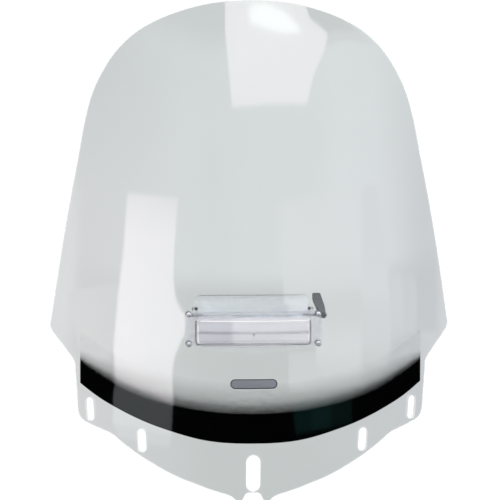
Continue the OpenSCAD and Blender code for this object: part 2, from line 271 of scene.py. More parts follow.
def fill(loops, grid, keep, extra=()):
    """Triangles between the loops (arc position and height), with a grid of points inside.
    Returns (interior points, triangles over boundary points followed by interior points)."""
    flat = [p for lp in loops for p in lp]
    lines = [p for lp in extra for p in lp]
    allb = np.array(flat + lines)
    lo, hi = allb.min(0), allb.max(0)
    xs = np.arange(math.floor(lo[0] / grid) * grid, hi[0] + grid, grid)
    ys = np.arange(math.floor(lo[1] / grid) * grid, hi[1] + grid, grid)
    g = np.array([(x + (grid / 2 if j % 2 else 0), y) for j, y in enumerate(ys) for x in xs])
    g = g[parity(g, loops)]
    if len(g):
        ok = np.ones(len(g), bool)
        for k in range(0, len(allb), 64):
            d = np.hypot(g[:, None, 0] - allb[None, k:k + 64, 0], g[:, None, 1] - allb[None, k:k + 64, 1]).min(1)
            ok &= d > keep
        g = g[ok]
    coords = [Vector(p) for p in flat + lines] + [Vector(p) for p in g]
    edges, at = [], 0
    for lp in list(loops) + list(extra):
        n = len(lp)
        edges += [(at + i, at + (i + 1) % n) for i in range(n)]
        at += n
    vo, _, fo, ov, _, _ = delaunay_2d_cdt(coords, edges, [], 0, 1e-9, True)
    back = [o[0] if o else -1 for o in ov]
    if min(back) < 0:
        raise RuntimeError("the outlines cross")
    tri = np.array([[back[i] for i in f] for f in fo])
    pts = np.array([tuple(c) for c in coords])
    mid = pts[tri].mean(1)
    a, b, c = pts[tri[:, 0]], pts[tri[:, 1]], pts[tri[:, 2]]
    area = (b[:, 0] - a[:, 0]) * (c[:, 1] - a[:, 1]) - (c[:, 0] - a[:, 0]) * (b[:, 1] - a[:, 1])
    tri[area < 0] = tri[area < 0][:, ::-1]
    tri = tri[parity(mid, loops) & (abs(area) > 1e-12)]
    nb = len(flat)
    return [tuple(p) for p in lines] + [tuple(p) for p in g], tri.tolist(), nb


def plate(name, loops, top, bottom, mats, edge=0.0, grid=0.008, keep=0.0035, rings=4, extra=(), extra_index=2,
          uv=None, side_index=1, back_index=0):
    """A closed plate on the barrel between two levels. loops are (points, way), the outer one first.
    mats[0] is on the faces, mats[side_index] on the edge, mats[extra_index] on the back inside the extra lines."""
    prepared = []
    for i, (pts, way) in enumerate(loops):
        f = [drop(p, way, top) for p in pts]
        ccw = area2([param(p) for p in f]) > 0
        if ccw != (i == 0):
            f = f[::-1]
        b = [drop(p, way, bottom) for p in f]
        n = len(f)
        rows = []          # lists of (point, normal), from the front face to the back
        tf = [(f[(k + 1) % n] - f[k - 1]).normalized() for k in range(n)]
        tb = [(b[(k + 1) % n] - b[k - 1]).normalized() for k in range(n)]
        e = edge
        steps = rings if e > 0 else 0
        for s in range(steps + 1):
            th = math.pi / 2 * s / steps if steps else 0.0
            row = []
            for k in range(n):
                nn = normal_at(f[k])
                m = nn.cross(tf[k]).normalized()
                side = (f[k] - b[k]).cross(tf[k])
                side = side.normalized() * (-1 if side.dot(m) > 0 else 1)
                c = f[k] + m * e - nn * e
                row.append((c + (nn * math.cos(th) - m * math.sin(th)) * e,
                            (nn * math.cos(th) + side * math.sin(th)).normalized() if steps else nn))
            rows.append(row)
        if not steps:
            for src, tt in ((f, tf), (b, tb)):
                row = []
                for k in range(n):
                    nn = normal_at(src[k])
                    m = nn.cross(tt[k]).normalized()
                    side = (f[k] - b[k]).cross(tt[k])
                    side = side.normalized() * (-1 if side.dot(m) > 0 else 1)
                    row.append((src[k], side))
                rows.append(row)
        for s in range(steps, -1, -1):
            th = math.pi / 2 * s / steps if steps else 0.0
            row = []
            for k in range(n):
                nn = normal_at(b[k])
                m = nn.cross(tb[k]).normalized()
                side = (f[k] - b[k]).cross(tb[k])
                side = side.normalized() * (-1 if side.dot(m) > 0 else 1)
                c = b[k] + m * e + nn * e
                row.append((c + (-nn * math.cos(th) - m * math.sin(th)) * e,
                            (-nn * math.cos(th) + side * math.sin(th)).normalized() if steps else -nn))
            rows.append(row)
        prepared.append(rows)
    verts, normals, faces, index = [], [], [], []
    front_loops = [[param(p) for p, _ in rows[0]] for rows in prepared]
    back_loops = [[param(p) for p, _ in rows[-1]] for rows in prepared]
    ids = []
    for rows in prepared:
        ids.append([])
        for row in rows:
            ids[-1].append(range(len(verts), len(verts) + len(row)))
            for p, q in row:
                verts.append(p)
                normals.append(q)
    # front face
    inner, tris, nb = fill(front_loops, grid, keep)
    start = len(verts)
    for s, z in inner:
        p = surf(s, z, top)
        verts.append(p)
        normals.append(normal_at(p))
    flat = [i for r in ids for i in r[0]]
    for t in tris:
        faces.append([flat[i] if i < nb else start + i - nb for i in t])
        index.append(0)
    # back face
    lines = [[param(drop(p, way, bottom)) for p in pts] for pts, way in extra]
    inner, tris, nb = fill(back_loops, grid, keep, lines)
    start = len(verts)
    for s, z in inner:
        p = surf(s, z, bottom)
        verts.append(p)
        normals.append(-normal_at(p))
    flat = [i for r in ids for i in r[-1]]
    both = [p for lp in back_loops for p in lp] + list(inner)
    mids = np.array([np.mean([both[i] for i in t], axis=0) for t in tris])
    in_extra = parity(mids, lines) if lines else np.zeros(len(tris), bool)
    for t, hit in zip(tris, in_extra):
        faces.append([flat[i] if i < nb else start + i - nb for i in t][::-1])
        index.append(extra_index if hit else back_index)
    # edges
    for r in ids:
        n = len(r[0])
        for s in range(len(r) - 1):
            for k in range(n):
                j = (k + 1) % n
                if not edge and s != 1:
                    continue
                faces.append([r[s][k], r[s + 1][k], r[s + 1][j], r[s][j]])
                index.append(side_index)
    if not edge:
        # rows 0 and 1 meet, and so do rows 2 and 3: weld them, with a sharp side
        for r in ids:
            for k in range(len(r[0])):
                verts[r[1][k]] = verts[r[0][k]]
                verts[r[2][k]] = verts[r[3][k]]
    uvs = [uv(v) for v in verts] if uv else None
    return make_mesh(name, verts, faces, mats, index, normals, uvs)


# ------------------------------------------------------------------ materials
def new_mat(name):
    m = bpy.data.materials.new(name)
    m.use_nodes = True
    m.node_tree.nodes.clear()
    return m, m.node_tree.nodes, m.node_tree.links


def node(nodes, kind, **sets):
    n = nodes.new(kind)
    for k, v in sets.items():
        if k in n.bl_rna.properties and not k.startswith("in_"):
            setattr(n, k, v)
        else:
            n.inputs[int(k[3:]) if k.startswith("in_") else k].default_value = v
    return n


def maths(nodes, links, op, a, b=None, c=None, clamp=False):
    n = nodes.new("ShaderNodeMath")
    n.operation = op
    n.use_clamp = clamp
    for i, v in enumerate((a, b, c)):
        if v is None:
            continue
        if isinstance(v, (int, float)):
            n.inputs[i].default_value = v
        else:
            links.new(v, n.inputs[i])
    return n.outputs[0]


def fresnel(nodes, links, f0, normal=None):
    """Reflectance by Schlick, the same from both sides of a face."""
    lw = node(nodes, "ShaderNodeLayerWeight", Blend=0.5)
    if normal is not None:
        links.new(normal, lw.inputs["Normal"])
    p = maths(nodes, links, "POWER", lw.outputs["Facing"], 5.0)
    return maths(nodes, links, "MULTIPLY_ADD", p, 1 - f0, f0)


def clear_material(name, tint, f0=0.042, rough=0.06, vary=0.012, gloss=True, scale=9.0, body=None, painted_side_light=False,
                   flat=False):
    """Clear plastic of which each face lets tint through and mirrors a little. Faint flow marks and dust."""
    m, nodes, links = new_mat(name)
    out = node(nodes, "ShaderNodeOutputMaterial")
    tc = node(nodes, "ShaderNodeTexCoord")
    noise = node(nodes, "ShaderNodeTexNoise", Scale=scale, Detail=2.0, Roughness=0.45)
    links.new(tc.outputs["Object"], noise.inputs["Vector"])
    ramp = node(nodes, "ShaderNodeMixRGB", blend_type="MIX")
    lo = [c * (1 - vary) for c in tint]
    hi = [min(1.0, c * (1 + vary)) for c in tint]
    ramp.inputs["Color1"].default_value = (*lo, 1)
    ramp.inputs["Color2"].default_value = (*hi, 1)
    links.new(noise.outputs["Fac"], ramp.inputs["Fac"])
    clear = node(nodes, "ShaderNodeBsdfTransparent")
    colour = ramp.outputs["Color"]
    if painted_side_light:
        # painted light: the tint is made a little paler and greyer towards the sides, most of all on the left and lower
        # down, standing in for reflected studio light
        sp = node(nodes, "ShaderNodeSeparateXYZ")
        links.new(tc.outputs["Object"], sp.inputs[0])
        for start, end, shift in ((-0.06, -0.27, (1.078, 1.056, 1.064)), (0.10, 0.28, (1.014, 1.003, 1.024))):
            mr = node(nodes, "ShaderNodeMapRange")
            links.new(sp.outputs[0], mr.inputs["Value"])
            mr.inputs["From Min"].default_value = start
            mr.inputs["From Max"].default_value = end
            fade_up = node(nodes, "ShaderNodeMapRange")
            links.new(sp.outputs[2], fade_up.inputs["Value"])
            fade_up.inputs["From Min"].default_value = 0.62
            fade_up.inputs["From Max"].default_value = 0.42
            fade_up.inputs["To Min"].default_value = 0.3
            side_light_amount = maths(nodes, links, "MULTIPLY", mr.outputs["Result"], fade_up.outputs["Result"])
            pale = node(nodes, "ShaderNodeMixRGB", blend_type="MIX")
            pale.inputs["Color2"].default_value = (*[c * k for c, k in zip(tint, shift)], 1)
            links.new(colour, pale.inputs["Color1"])
            links.new(side_light_amount, pale.inputs["Fac"])
            colour = pale.outputs["Color"]
    links.new(colour, clear.inputs["Color"])
    last = clear.outputs[0]
    if body:
        # some of the light is scattered by the plastic itself
        dif = node(nodes, "ShaderNodeBsdfDiffuse", Color=(*body[:3], 1))
        mx = node(nodes, "ShaderNodeMixShader", Fac=body[3])
        links.new(last, mx.inputs[1])
        links.new(dif.outputs[0], mx.inputs[2])
        last = mx.outputs[0]
    if gloss:
        fine = node(nodes, "ShaderNodeTexNoise", Scale=14.0, Detail=2.0, Roughness=0.5)
        links.new(tc.outputs["Object"], fine.inputs["Vector"])
        mr = node(nodes, "ShaderNodeMapRange")
        links.new(fine.outputs["Fac"], mr.inputs["Value"])
        mr.inputs["From Min"].default_value = 0.3
        mr.inputs["From Max"].default_value = 0.7
        mr.inputs["To Min"].default_value = rough * 0.93
        mr.inputs["To Max"].default_value = rough * 1.07
        gl = node(nodes, "ShaderNodeBsdfAnisotropic")
        gl.inputs["Color"].default_value = (1, 1, 1, 1)
        links.new(mr.outputs["Result"], gl.inputs["Roughness"])
        mix = node(nodes, "ShaderNodeMixShader")
        if flat:
            mix.inputs["Fac"].default_value = f0      # sawn and polished: no stronger at a slant
        else:
            links.new(fresnel(nodes, links, f0), mix.inputs["Fac"])
        links.new(last, mix.inputs[1])
        links.new(gl.outputs[0], mix.inputs[2])
        last = mix.outputs[0]
    links.new(last, out.inputs["Surface"])
    return m


def solid_material(name, color, rough=0.5, metallic=0.0, vary=0.12, scale=300.0, bump=0.0002, bump_scale=900.0,
                   specular=0.5, coat=0.0, aniso=False, edge_light=0.0):
    """Opaque plastic, rubber or metal with colour, roughness and surface grain that vary."""
    m, nodes, links = new_mat(name)
    out = node(nodes, "ShaderNodeOutputMaterial")
    bs = node(nodes, "ShaderNodeBsdfPrincipled")
    tc = node(nodes, "ShaderNodeTexCoord")
    mp = node(nodes, "ShaderNodeMapping")
    if aniso:
        mp.inputs["Scale"].default_value = (0.08, 1.0, 1.0)
    links.new(tc.outputs["Object"], mp.inputs["Vector"])
    noise = node(nodes, "ShaderNodeTexNoise", Scale=scale, Detail=4.0, Roughness=0.55)
    links.new(mp.outputs[0], noise.inputs["Vector"])
    mix = node(nodes, "ShaderNodeMixRGB", blend_type="MIX")
    mix.inputs["Color1"].default_value = (*[c * (1 - vary) for c in color], 1)
    mix.inputs["Color2"].default_value = (*[min(1.0, c * (1 + vary)) for c in color], 1)
    links.new(noise.outputs["Fac"], mix.inputs["Fac"])
    links.new(mix.outputs[0], bs.inputs["Base Color"])
    mr = node(nodes, "ShaderNodeMapRange")
    links.new(noise.outputs["Fac"], mr.inputs["Value"])
    mr.inputs["To Min"].default_value = max(0.02, rough - 0.08)
    mr.inputs["To Max"].default_value = min(1.0, rough + 0.08)
    links.new(mr.outputs["Result"], bs.inputs["Roughness"])
    fine = node(nodes, "ShaderNodeTexNoise", Scale=bump_scale, Detail=3.0, Roughness=0.6)
    links.new(mp.outputs[0], fine.inputs["Vector"])
    bp = node(nodes, "ShaderNodeBump", Strength=0.5, Distance=bump)
    links.new(fine.outputs["Fac"], bp.inputs["Height"])
    links.new(bp.outputs["Normal"], bs.inputs["Normal"])
    bs.inputs["Metallic"].default_value = metallic
    bs.inputs["Specular IOR Level"].default_value = specular
    bs.inputs["Coat Weight"].default_value = coat
    links.new(bs.outputs[0], out.inputs["Surface"])
    return m


def glass_material(name, color, mouth_shade_tint=None, ior=1.3, rough=0.02, through=0.35, streaks=0.0):
    """Moulded clear plastic that bends light, with faint sink marks. A tint given for the vent's mouth is painted
    shade: it darkens the louvre inside the mouth and, at half strength, the duct walls.
    """
    m, nodes, links = new_mat(name)
    out = node(nodes, "ShaderNodeOutputMaterial")
    bs = node(nodes, "ShaderNodeBsdfPrincipled")
    bs.inputs["Transmission Weight"].default_value = 1.0
    bs.inputs["IOR"].default_value = ior
    tc = node(nodes, "ShaderNodeTexCoord")
    noise = node(nodes, "ShaderNodeTexNoise", Scale=45.0, Detail=2.0, Roughness=0.5)
    links.new(tc.outputs["Object"], noise.inputs["Vector"])
    mix = node(nodes, "ShaderNodeMixRGB", blend_type="MIX")
    mix.inputs["Color1"].default_value = (*[c * 0.975 for c in color], 1)
    mix.inputs["Color2"].default_value = (*[min(1.0, c * 1.01) for c in color], 1)
    links.new(noise.outputs["Fac"], mix.inputs["Fac"])
    colour = mix.outputs[0]
    if streaks:
        # drawn-out flow marks along the moulding
        mp = node(nodes, "ShaderNodeMapping")
        mp.inputs["Scale"].default_value = (7.0, 90.0, 90.0)
        links.new(tc.outputs["Object"], mp.inputs["Vector"])
        flow = node(nodes, "ShaderNodeTexNoise", Scale=1.0, Detail=4.0, Roughness=0.65)
        links.new(mp.outputs[0], flow.inputs["Vector"])
        fr = node(nodes, "ShaderNodeMapRange")
        links.new(flow.outputs["Fac"], fr.inputs["Value"])
        fr.inputs["From Min"].default_value = 0.42
        fr.inputs["From Max"].default_value = 0.66
        drawn = node(nodes, "ShaderNodeMixRGB", blend_type="MULTIPLY")
        drawn.inputs["Color2"].default_value = (1 - streaks, 1 - streaks, 1 - 0.55 * streaks, 1)
        links.new(fr.outputs["Result"], drawn.inputs["Fac"])
        links.new(colour, drawn.inputs["Color1"])
        colour = drawn.outputs[0]
    if mouth_shade_tint:
        # painted shade: inside the mouth the plastic is darkened as if in the duct's shade, the walls at half strength,
        # a little more towards the left end
        sp = node(nodes, "ShaderNodeSeparateXYZ")
        links.new(tc.outputs["Object"], sp.inputs[0])
        ax = maths(nodes, links, "ABSOLUTE", sp.outputs[0])
        az = maths(nodes, links, "ABSOLUTE", maths(nodes, links, "SUBTRACT", sp.outputs[2], 0.2205))
        inside = maths(nodes, links, "MULTIPLY", maths(nodes, links, "LESS_THAN", ax, 0.0835),
                       maths(nodes, links, "LESS_THAN", az, 0.0178))
        # the painted shade reaches the duct walls at half strength
        wall_shade_mask = maths(nodes, links, "MULTIPLY", maths(nodes, links, "LESS_THAN", ax, 0.0868),
                          maths(nodes, links, "LESS_THAN", az, 0.0212))
        inside = maths(nodes, links, "MAXIMUM", inside, maths(nodes, links, "MULTIPLY", wall_shade_mask, 0.5))
        wave = node(nodes, "ShaderNodeTexNoise", Scale=1.0, Detail=3.0, Roughness=0.6)
        mp = node(nodes, "ShaderNodeMapping")
        mp.inputs["Scale"].default_value = (9.0, 40.0, 160.0)
        links.new(tc.outputs["Object"], mp.inputs["Vector"])
        links.new(mp.outputs[0], wave.inputs["Vector"])
        smoke = node(nodes, "ShaderNodeMixRGB", blend_type="MIX")
        smoke.inputs["Color1"].default_value = (*[c * 0.90 for c in mouth_shade_tint], 1)
        smoke.inputs["Color2"].default_value = (*[min(1.0, c * 1.12) for c in mouth_shade_tint], 1)
        links.new(wave.outputs["Fac"], smoke.inputs["Fac"])
        end = node(nodes, "ShaderNodeMapRange")
        links.new(sp.outputs[0], end.inputs["Value"])
        end.inputs["From Min"].default_value = -0.028
        end.inputs["From Max"].default_value = -0.036
        dim = node(nodes, "ShaderNodeMixRGB", blend_type="MULTIPLY")
        dim.inputs["Color2"].default_value = (0.84, 0.84, 0.86, 1)
        links.new(end.outputs["Result"], dim.inputs["Fac"])
        links.new(smoke.outputs[0], dim.inputs["Color1"])
        pick = node(nodes, "ShaderNodeMixRGB", blend_type="MIX")
        links.new(inside, pick.inputs["Fac"])
        links.new(colour, pick.inputs["Color1"])
        links.new(dim.outputs[0], pick.inputs["Color2"])
        colour = pick.outputs[0]
    links.new(colour, bs.inputs["Base Color"])
    mr = node(nodes, "ShaderNodeMapRange")
    links.new(noise.outputs["Fac"], mr.inputs["Value"])
    mr.inputs["To Min"].default_value = rough * 0.5
    mr.inputs["To Max"].default_value = rough * 1.5
    links.new(mr.outputs["Result"], bs.inputs["Roughness"])
    bp = node(nodes, "ShaderNodeBump", Strength=0.25, Distance=0.0012)
    links.new(noise.outputs["Fac"], bp.inputs["Height"])
    links.new(bp.outputs["Normal"], bs.inputs["Normal"])
    # part of the light goes straight through, which keeps the thick moulding from looking solid
    tr = node(nodes, "ShaderNodeBsdfTransparent")
    root = node(nodes, "ShaderNodeGamma")
    root.inputs["Gamma"].default_value = 0.5
    links.new(colour, root.inputs["Color"])
    links.new(root.outputs[0], tr.inputs["Color"])
    ms = node(nodes, "ShaderNodeMixShader", Fac=through)
    links.new(bs.outputs[0], ms.inputs[1])
    links.new(tr.outputs[0], ms.inputs[2])
    links.new(ms.outputs[0], out.inputs["Surface"])
    return m


TINT = (0.737, 0.757, 0.754)
# the sheet's tint carries painted light, paler towards its sides
m_clear = clear_material("clear_sheet", TINT, painted_side_light=True)
m_edge = clear_material("clear_sheet_edge", (0.86, 0.875, 0.87), f0=0.05, rough=0.10, body=(0.92, 0.94, 0.93, 0.10), flat=True)
m_inked = clear_material("clear_sheet_inked", (0.90, 0.91, 0.91), gloss=False)
m_gasket = clear_material("clear_gasket", (0.985, 0.985, 0.99), f0=0.02, rough=0.25, vary=0.008,
                          body=(0.85, 0.85, 0.9, 0.02), scale=60.0)
m_duct = glass_material("clear_duct", (0.995, 0.99, 1.0), through=0.62)
# the louvre's tint inside the vent's mouth is painted shade
m_louvre = glass_material("louvre_painted_shade", (0.995, 0.99, 1.0), mouth_shade_tint=(0.60, 0.605, 0.64), streaks=0.05,
                          through=0.62)
m_vane = glass_material("clear_vane", (1.0, 0.99, 1.0), through=0.3, streaks=0.12)

# ------------------------------------------------------------------ the sheet
loops = [([through(q) for q in outline], THROUGH)]
loops.append(slot_loop(0, 0, 21, 57))
for sg in (-1, 1):
    loops.append(slot_loop(sg * 170, 48, 14, 36))
    loops.append(slot_loop(sg * 248, 92, 14, 36))
loops.append(vent_loop(pad(87, 21, -2, 6)))
for x in (-99, 99):
    for z in (24, -21):
        loops.append(vent_loop(ring2d(x, z, 2.6)))


def band_polygon(low, high, x_end, dh=0.0):
    lo = [q for q in smooth(low, 6) if q[0] < x_end]
    hi = [q for q in smooth(high, 6) if q[0] < x_end]

    def cut(line):
        full = smooth(line, 1.0)
        xs, ws = [q[0] for q in full], [q[1] for q in full]
        return np.array([x_end, np.interp(x_end, xs, ws)])

    lo.append(cut(low))
    hi.append(cut(high))
    hi = [np.array([q[0], q[1] + dh]) for q in hi]
    side = [hi[-1] + (lo[-1] - hi[-1]) * k / 8 for k in range(1, 8)]
    right = hi + side + lo[::-1]
    left_ = [np.array([-q[0], q[1]]) for q in right[::-1] if q[0] > 0.01]
    return right + left_


band = band_polygon(BAND_LOW, BAND_HIGH, BAND_X)
hi_full = smooth(BAND_HIGH, 1.0)
HX, HW = [q[0] for q in hi_full], [q[1] for q in hi_full]
fade = band_polygon(BAND_HIGH, [[q[0], q[1] + FADE_H] for q in BAND_HIGH], BAND_X)

sheet = plate("sheet", loops, 0.0, -T, [m_clear, m_edge, m_inked], edge=0.0009,
              extra=[([through(q) for q in band], THROUGH)])
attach(sheet, "screen")
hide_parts("screen_sheet")

# ------------------------------------------------------------------ printed band and its dotted fade
m_ink_face, nodes, links = new_mat("band_ink_face")
o = node(nodes, "ShaderNodeOutputMaterial")
tc = node(nodes, "ShaderNodeTexCoord")
nz = node(nodes, "ShaderNodeTexNoise", Scale=80.0, Detail=3.0)
links.new(tc.outputs["Object"], nz.inputs["Vector"])
mx = node(nodes, "ShaderNodeMixRGB", blend_type="MIX")
mx.inputs["Color1"].default_value = (0.0012, 0.0013, 0.0013, 1)
mx.inputs["Color2"].default_value = (0.0022, 0.0024, 0.0024, 1)
links.new(nz.outputs["Fac"], mx.inputs["Fac"])
dd = node(nodes, "ShaderNodeBsdfDiffuse", Roughness=0.6)
links.new(mx.outputs[0], dd.inputs["Color"])
links.new(dd.outputs[0], o.inputs["Surface"])
m_ink_back = solid_material("band_ink_back", (0.012, 0.012, 0.013), rough=0.42, vary=0.25, scale=140.0,
                            bump=0.00008, bump_scale=1400.0)
band_ob = plate("printed_band", [([through(q) for q in band], THROUGH)], -T - 0.00008, -T - 0.0004,
                [m_ink_face, m_ink_back], grid=0.012, back_index=1)
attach(band_ob, "screen")
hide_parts("lower_band")


def fade_uv(p):
    """Millimetres along the band, and above its solid part."""
    w = (p[1] * S6 + p[2] * C6) * 1000
    u = R * math.atan2(p[0], AY - p[1]) * 1000
    return u, w - float(np.interp(abs(p[0] * 1000), HX, HW))


def dots_material(name, ink, pitch, stops, rough):
    """Round dots in staggered rows, smaller and smaller away from the solid band. UV is in millimetres."""
    m, nodes, links = new_mat(name)
    out = node(nodes, "ShaderNodeOutputMaterial")
    uvn = node(nodes, "ShaderNodeUVMap", uv_map="UVMap")
    sep = node(nodes, "ShaderNodeSeparateXYZ")
    links.new(uvn.outputs[0], sep.inputs[0])
    rowh = pitch * math.sqrt(3)
    d2 = []
    for shift in (0.0, 0.5):
        parts = []
        for axis, size in ((0, pitch), (1, rowh)):
            a = maths(nodes, links, "MULTIPLY_ADD", sep.outputs[axis], 1 / size, 100.0 + shift)
            f = maths(nodes, links, "FRACT", a)
            c = maths(nodes, links, "MULTIPLY_ADD", f, size, -0.5 * size)
            parts.append(maths(nodes, links, "MULTIPLY", c, c))
        d2.append(maths(nodes, links, "ADD", *parts))
    d = maths(nodes, links, "SQRT", maths(nodes, links, "MINIMUM", *d2))
    ramp = node(nodes, "ShaderNodeValToRGB")
    # the fade is shorter towards the ends of the band
    far = maths(nodes, links, "MULTIPLY", maths(nodes, links, "ABSOLUTE", sep.outputs[0]), 1 / 295, clamp=True)
    short = maths(nodes, links, "MULTIPLY_ADD", maths(nodes, links, "POWER", far, 3.0), 0.6, 1.0)
    short = maths(nodes, links, "MULTIPLY_ADD", maths(nodes, links, "POWER", far, 12.0), 1.6, short)
    pos = maths(nodes, links, "MULTIPLY", maths(nodes, links, "DIVIDE", sep.outputs[1], FADE_H), short, clamp=True)
    links.new(pos, ramp.inputs["Fac"])
    el = ramp.color_ramp.elements
    area = pitch * pitch * math.sqrt(3) / 2
    for i, (at, cover) in enumerate(stops):
        r = math.sqrt(cover * area / math.pi) / pitch
        e = el[i] if i < 2 else el.new(at)
        e.position = at
        e.color = (r, r, r, 1)
    r = maths(nodes, links, "MULTIPLY", ramp.outputs["Color"], pitch)
    soft = 0.09
    edge = maths(nodes, links, "SUBTRACT", r, d)
    alpha = maths(nodes, links, "MULTIPLY_ADD", edge, 1 / soft, 0.5, clamp=True)
    clear = node(nodes, "ShaderNodeBsdfTransparent")
    if rough is None:
        ink_sh = node(nodes, "ShaderNodeBsdfDiffuse", Color=(*ink, 1))
    else:
        ink_sh = node(nodes, "ShaderNodeBsdfPrincipled", Roughness=rough)
        ink_sh.inputs["Base Color"].default_value = (*ink, 1)
    mix = node(nodes, "ShaderNodeMixShader")
    links.new(alpha, mix.inputs["Fac"])
    links.new(clear.outputs[0], mix.inputs[1])
    links.new(ink_sh.outputs[0], mix.inputs[2])
    links.new(mix.outputs[0], out.inputs["Surface"])
    return m


STOPS = [(0.0, 0.92), (1.0, 0.03), (0.11, 0.80), (0.24, 0.67), (0.37, 0.43), (0.50, 0.30), (0.63, 0.22), (0.78, 0.14)]
m_dots = dots_material("fade_dots", (0.006, 0.006, 0.006), 2.0, STOPS, None)
m_dots_back = dots_material("fade_dots_back", (0.012, 0.012, 0.013), 2.0, STOPS, 0.45)
fade_ob = plate("dotted_fade", [([through(q) for q in fade], THROUGH)], -T - 0.00008, -T - 0.0004,
                [m_dots, m_dots, m_dots_back], grid=0.012, uv=fade_uv, back_index=2)
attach(fade_ob, "screen")
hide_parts("fade_band")

# ------------------------------------------------------------------ blank badge
m_badge = solid_material("badge_face", (0.27, 0.28, 0.31), rough=0.35, vary=0.1, scale=500, bump=0.00006,
                         bump_scale=2500, aniso=True, metallic=0.6)
m_badge_rim = solid_material("badge_rim", (0.02, 0.021, 0.023), rough=0.3, vary=0.1, bump=0.00004)


def badge_piece(name, hx, hz, lo, hi, mats, edge):
    pts = [Vector((p[0] / 1000, 0.0, 0.140 + p[1] / 1000)) for p in pad(hx, hz, 0, hz - 0.1, 2.5, 14)]
    return plate(name, [(pts, Vector((0, 1, 0)))], hi, lo, mats, edge=edge, grid=0.004, keep=0.0015)


badge_base = badge_piece("badge_base", 36, 7.5, 0.00005, 0.0010, [m_badge_rim, m_badge_rim], 0.0004)
badge_top = badge_piece("badge_top", 34.4, 6.0, 0.0009, 0.0012, [m_badge, m_badge], 0.00012)
for b in (badge_base, badge_top):
    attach(b, "screen")
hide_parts("badge")

# ------------------------------------------------------------------ CAD nodes that stay, with better finish
m_rubber = solid_material("black_rubber", (0.018, 0.018, 0.019), rough=0.62, vary=0.2, bump=0.00015, bump_scale=1500)
m_steel = solid_material("steel_pin", (0.55, 0.55, 0.56), rough=0.28, metallic=1.0, vary=0.06, aniso=True,
                         bump=0.00004, bump_scale=3000)
m_hardware = solid_material("steel_hardware", (0.42, 0.42, 0.44), rough=0.50, metallic=0.8, vary=0.08,
                            bump=0.00004, bump_scale=2500)
m_spring = solid_material("spring_steel", (0.30, 0.30, 0.32), rough=0.4, metallic=0.9, vary=0.1, bump=0.00003)
m_nylon = solid_material("nylon", (0.72, 0.71, 0.67), rough=0.55, vary=0.04, bump=0.00008, bump_scale=1200)
m_lever = solid_material("smoke_lever", (0.088, 0.092, 0.10), rough=0.48, vary=0.2, bump=0.00008, specular=0.3)

FINISH = {"vent_bezel": m_louvre, "vent_housing": m_duct, "vane": m_vane, "bezel_gasket": m_gasket,
          "housing_gasket": m_gasket, "vane_seal": m_rubber, "stop_bumpers": m_rubber,
          "vent_screws": m_hardware, "vent_washers": m_hardware, "vent_nuts": m_hardware,
          "vane_lever": m_lever, "lever_screw": m_hardware, "pivot_pin_left": m_steel,
          "pivot_pin_right": m_steel, "friction_washers": m_nylon, "pin_clips": m_spring}
for name, mat in FINISH.items():
    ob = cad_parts[name]
    ob.data.materials.clear()
    ob.data.materials.append(mat)
    ob.data.polygons.foreach_set("material_index", [0] * len(ob.data.polygons))
# moulded parts have rounded edges
for name, width in (("vane_lever", 0.0007), ("vane", 0.0004)):
    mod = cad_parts[name].modifiers.new("rounded_edges", "BEVEL")
    mod.width = width
    mod.segments = 3
    mod.limit_method = "ANGLE"
    mod.angle_limit = math.radians(35)
    mod.harden_normals = True

# ------------------------------------------------------------------ floor, light, camera
lo, hi = cad_lo, cad_hi
floor_z = lo[2] - 0.0003


def stage_mesh(name, verts, faces, mat):
    me = bpy.data.meshes.new(name)
    me.from_pydata([tuple(v) for v in verts], [], faces)
    me.materials.append(mat)
    ob = bpy.data.objects.new(name, me)
    scene.collection.objects.link(ob)
    return ob


m_floor, nodes, links = new_mat("pale_floor")
o = node(nodes, "ShaderNodeOutputMaterial")
dif = node(nodes, "ShaderNodeBsdfDiffuse", Color=(0.06, 0.06, 0.06, 1))
emi = node(nodes, "ShaderNodeEmission", Color=(1, 1, 1, 1), Strength=1.04)
add = node(nodes, "ShaderNodeAddShader")
links.new(dif.outputs[0], add.inputs[0])
links.new(emi.outputs[0], add.inputs[1])
links.new(add.outputs[0], o.inputs["Surface"])
n = 64
floor = stage_mesh("floor", [(60 * math.cos(2 * math.pi * k / n), 60 * math.sin(2 * math.pi * k / n), floor_z) for k in range(n)],
                   [list(range(n))], m_floor)
floor.visible_glossy = False       # mirrors see the dark front of the studio instead

world = bpy.data.worlds.new("studio")
scene.world = world
world.use_nodes = True
nodes, links = world.node_tree.nodes, world.node_tree.links
nodes.clear()
wo = node(nodes, "ShaderNodeOutputWorld")
lp = node(nodes, "ShaderNodeLightPath")
tc = node(nodes, "ShaderNodeTexCoord")
sep = node(nodes, "ShaderNodeSeparateXYZ")
links.new(tc.outputs["Generated"], sep.inputs[0])
ay = maths(nodes, links, "ABSOLUTE", sep.outputs[1])
thru = node(nodes, "ShaderNodeMapRange", interpolation_type="SMOOTHSTEP")
links.new(ay, thru.inputs["Value"])
thru.inputs["From Min"].default_value = 0.15
thru.inputs["From Max"].default_value = 0.75
thru.inputs["To Min"].default_value = 0.35
thru.inputs["To Max"].default_value = 1.12


def ramp(value, stops):
    r = node(nodes, "ShaderNodeValToRGB")
    links.new(value, r.inputs["Fac"])
    el = r.color_ramp.elements
    el[0].position, el[1].position = stops[0][0], stops[-1][0]
    el[0].color = (*[stops[0][1]] * 3, 1) if isinstance(stops[0][1], (int, float)) else (*stops[0][1], 1)
    el[1].color = (*[stops[-1][1]] * 3, 1) if isinstance(stops[-1][1], (int, float)) else (*stops[-1][1], 1)
    for at, c in stops[1:-1]:
        e = el.new(at)
        e.color = (*[c] * 3, 1) if isinstance(c, (int, float)) else (*c, 1)
    return r.outputs["Color"]


